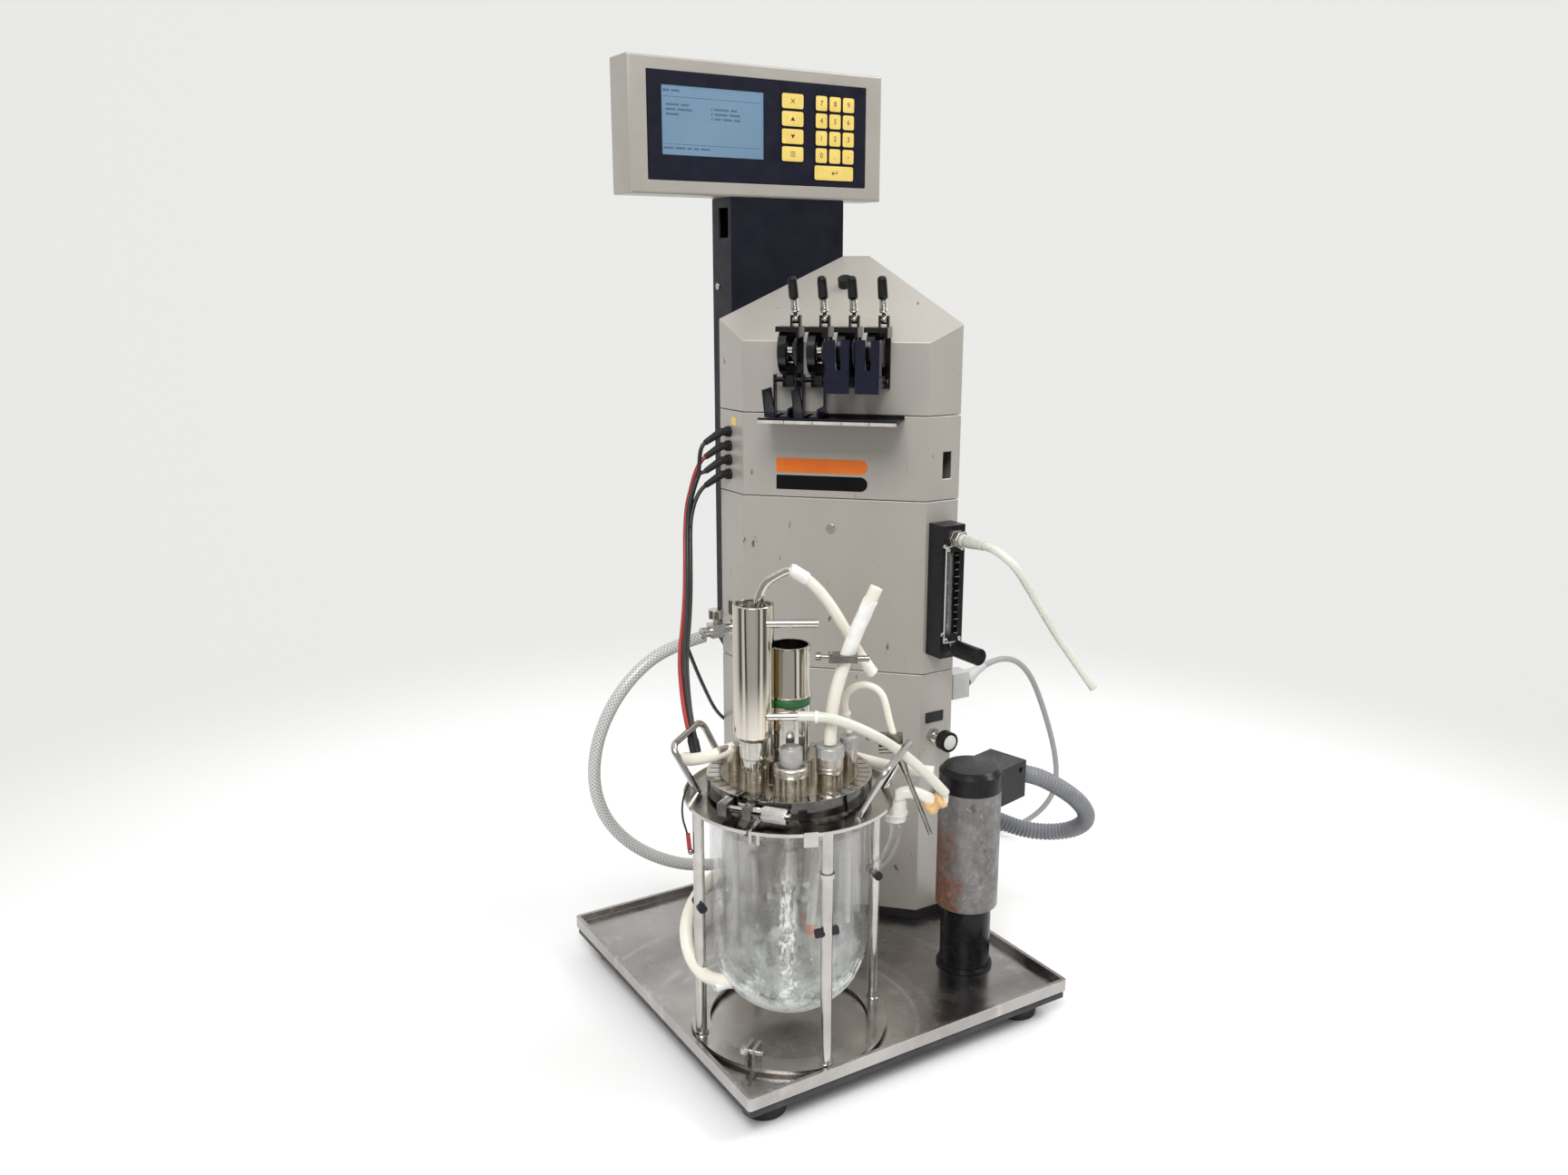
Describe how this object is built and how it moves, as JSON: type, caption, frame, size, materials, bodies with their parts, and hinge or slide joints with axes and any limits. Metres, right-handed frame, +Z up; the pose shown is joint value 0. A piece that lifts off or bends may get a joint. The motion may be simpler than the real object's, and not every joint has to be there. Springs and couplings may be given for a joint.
{
  "type": "bench bioreactor",
  "caption": "Bench bioreactor: jacketed glass vessel in a steel stand and a stirrer motor on a drip tray, beside a faceted control tower with tube pumps and a display.",
  "frame": {"origin": "centre of the footprint at bench level, under the rubber feet, hoses and cords left out", "axes": "+Z up; +Y from the front edge of the drip tray towards the rear column; +X to the right as seen from the front"},
  "size_m": [0.6128, 0.5015, 0.9],
  "materials": {
    "rubber_feet": "worn",
    "base_plate": "worn",
    "drip_tray": "worn",
    "tower_seal": "worn",
    "lower_cover": "worn",
    "middle_cover": "worn",
    "band_cover": "worn",
    "top_cover": "worn",
    "tower_frame": "worn",
    "circulation_unit": "worn",
    "rear_column": "worn",
    "display_housing": "worn",
    "front_panel": "worn",
    "lcd_window": "worn",
    "cover_screws": "worn",
    "pump_frames": "worn",
    "pump_rotors": "worn",
    "pump_lever_1": "worn",
    "pump_lever_2": "worn",
    "pump_lever_3": "worn",
    "pump_lever_4": "worn",
    "pump_covers_open": "worn",
    "pump_covers_shut": "worn",
    "pump_gutter": "worn",
    "flowmeter_body": "worn",
    "flowmeter_tube": "worn",
    "flowmeter_float": "worn",
    "flowmeter_knob": "worn",
    "needle_knob": "worn",
    "tower_fittings": "worn",
    "tap_knob": "worn",
    "cable_plugs": "worn",
    "vessel_stand": "worn",
    "leg_bumpers": "worn",
    "glass_vessel": "worn",
    "head_plate": "worn",
    "clamp_band": "worn",
    "clamp_nut": "worn",
    "port_fittings": "worn",
    "condenser": "worn",
    "drive_housing": "worn",
    "stirrer": "worn",
    "motor_can": "worn",
    "motor_cap": "worn",
    "motor_socket": "worn",
    "motor_coupling": "worn",
    "hose_clamps": "worn",
    "vessel_connectors": "worn",
    "condenser_hose": "worn",
    "cooling_hose": "worn",
    "sample_hose": "worn",
    "thin_hose": "worn",
    "braided_hose": "worn",
    "jacket_hose": "worn",
    "vent_hose": "worn",
    "meter_hose": "worn",
    "motor_conduit": "worn",
    "mains_cord": "worn",
    "probe_cables": "worn",
    "mains_plugs": "worn"
  },
  "bodies": {
    "bioreactor": {"rubber_feet": "rubber_feet", "base_plate": "base_plate", "drip_tray": "drip_tray", "tower_seal": "tower_seal", "lower_cover": "lower_cover", "middle_cover": "middle_cover", "band_cover": "band_cover", "top_cover": "top_cover", "tower_frame": "tower_frame", "circulation_unit": "circulation_unit", "rear_column": "rear_column", "display_housing": "display_housing", "front_panel": "front_panel", "lcd_window": "lcd_window", "cover_screws": "cover_screws", "pump_frames": "pump_frames", "pump_gutter": "pump_gutter", "flowmeter_body": "flowmeter_body", "flowmeter_tube": "flowmeter_tube", "tower_fittings": "tower_fittings", "cable_plugs": "cable_plugs", "vessel_stand": "vessel_stand", "leg_bumpers": "leg_bumpers", "glass_vessel": "glass_vessel", "head_plate": "head_plate", "clamp_band": "clamp_band", "port_fittings": "port_fittings", "condenser": "condenser", "drive_housing": "drive_housing", "motor_can": "motor_can", "motor_cap": "motor_cap", "motor_socket": "motor_socket", "hose_clamps": "hose_clamps", "vessel_connectors": "vessel_connectors", "condenser_hose": "condenser_hose", "cooling_hose": "cooling_hose", "sample_hose": "sample_hose", "thin_hose": "thin_hose", "braided_hose": "braided_hose", "jacket_hose": "jacket_hose", "vent_hose": "vent_hose", "meter_hose": "meter_hose", "motor_conduit": "motor_conduit", "mains_cord": "mains_cord", "probe_cables": "probe_cables", "mains_plugs": "mains_plugs"},
    "rotors": {"pump_rotors": "pump_rotors"},
    "lever_1": {"pump_lever_1": "pump_lever_1"},
    "lever_2": {"pump_lever_2": "pump_lever_2"},
    "lever_3": {"pump_lever_3": "pump_lever_3"},
    "lever_4": {"pump_lever_4": "pump_lever_4"},
    "covers_open": {"pump_covers_open": "pump_covers_open"},
    "covers_shut": {"pump_covers_shut": "pump_covers_shut"},
    "meter_float": {"flowmeter_float": "flowmeter_float"},
    "meter_knob": {"flowmeter_knob": "flowmeter_knob"},
    "needle_dial": {"needle_knob": "needle_knob"},
    "tap_dial": {"tap_knob": "tap_knob"},
    "thumb_nut": {"clamp_nut": "clamp_nut"},
    "impellers": {"stirrer": "stirrer"},
    "coupling": {"motor_coupling": "motor_coupling"}
  },
  "joints": [
    {"name": "rotor_spin", "type": "hinge", "parent": "bioreactor", "child": "rotors", "pos_m": [0.04423, 0.03493, 0.627], "axis": [0.7071, -0.7071, 0], "continuous": true},
    {"name": "lever_1_swing", "type": "hinge", "parent": "bioreactor", "child": "lever_1", "pos_m": [0.02181, 0.063, 0.6575], "axis": [0.7071, -0.7071, 0], "range_deg": [-15, 45]},
    {"name": "lever_2_swing", "type": "hinge", "parent": "bioreactor", "child": "lever_2", "pos_m": [0.04197, 0.04285, 0.6575], "axis": [0.7071, -0.7071, 0], "range_deg": [-15, 45]},
    {"name": "lever_3_swing", "type": "hinge", "parent": "bioreactor", "child": "lever_3", "pos_m": [0.06212, 0.0227, 0.6575], "axis": [0.7071, -0.7071, 0], "range_deg": [-15, 45]},
    {"name": "lever_4_swing", "type": "hinge", "parent": "bioreactor", "child": "lever_4", "pos_m": [0.08227, 0.00254, 0.6575], "axis": [0.7071, -0.7071, 0], "range_deg": [-15, 45]},
    {"name": "open_cover_swing", "type": "hinge", "parent": "bioreactor", "child": "covers_open", "pos_m": [0.02867, 0.05756, 0.6], "axis": [0.7071, -0.7071, 0], "range_deg": [-90, 0]},
    {"name": "shut_cover_swing", "type": "hinge", "parent": "bioreactor", "child": "covers_shut", "pos_m": [0.06898, 0.01725, 0.6], "axis": [0.7071, -0.7071, 0], "range_deg": [0, 90]},
    {"name": "float_rise", "type": "slide", "parent": "bioreactor", "child": "meter_float", "axis": [0, 0, 1], "range_m": [0, 0.065]},
    {"name": "meter_knob_turn", "type": "hinge", "parent": "bioreactor", "child": "meter_knob", "pos_m": [0.1388, -0.07, 0.3385], "axis": [0, -1, 0], "range_deg": [0, 720]},
    {"name": "needle_turn", "type": "hinge", "parent": "bioreactor", "child": "needle_dial", "pos_m": [0.1373, -0.044, 0.2385], "axis": [0, -1, 0], "range_deg": [0, 720]},
    {"name": "tap_turn", "type": "hinge", "parent": "bioreactor", "child": "tap_dial", "pos_m": [-0.032, 0.133, 0.356], "axis": [0, 0, 1], "range_deg": [0, 720]},
    {"name": "clamp_nut_turn", "type": "hinge", "parent": "bioreactor", "child": "thumb_nut", "pos_m": [-0.15351, -0.15348, 0.2694], "axis": [0.6018, -0.7986, 0], "range_deg": [0, 720]},
    {"name": "stirrer_spin", "type": "hinge", "parent": "bioreactor", "child": "impellers", "pos_m": [-0.0905, -0.106, 0.2], "axis": [0, 0, 1], "continuous": true},
    {"name": "coupling_spin", "type": "hinge", "parent": "bioreactor", "child": "coupling", "pos_m": [0.1106, -0.1128, 0.065], "axis": [0, 0, 1], "continuous": true}
  ]
}
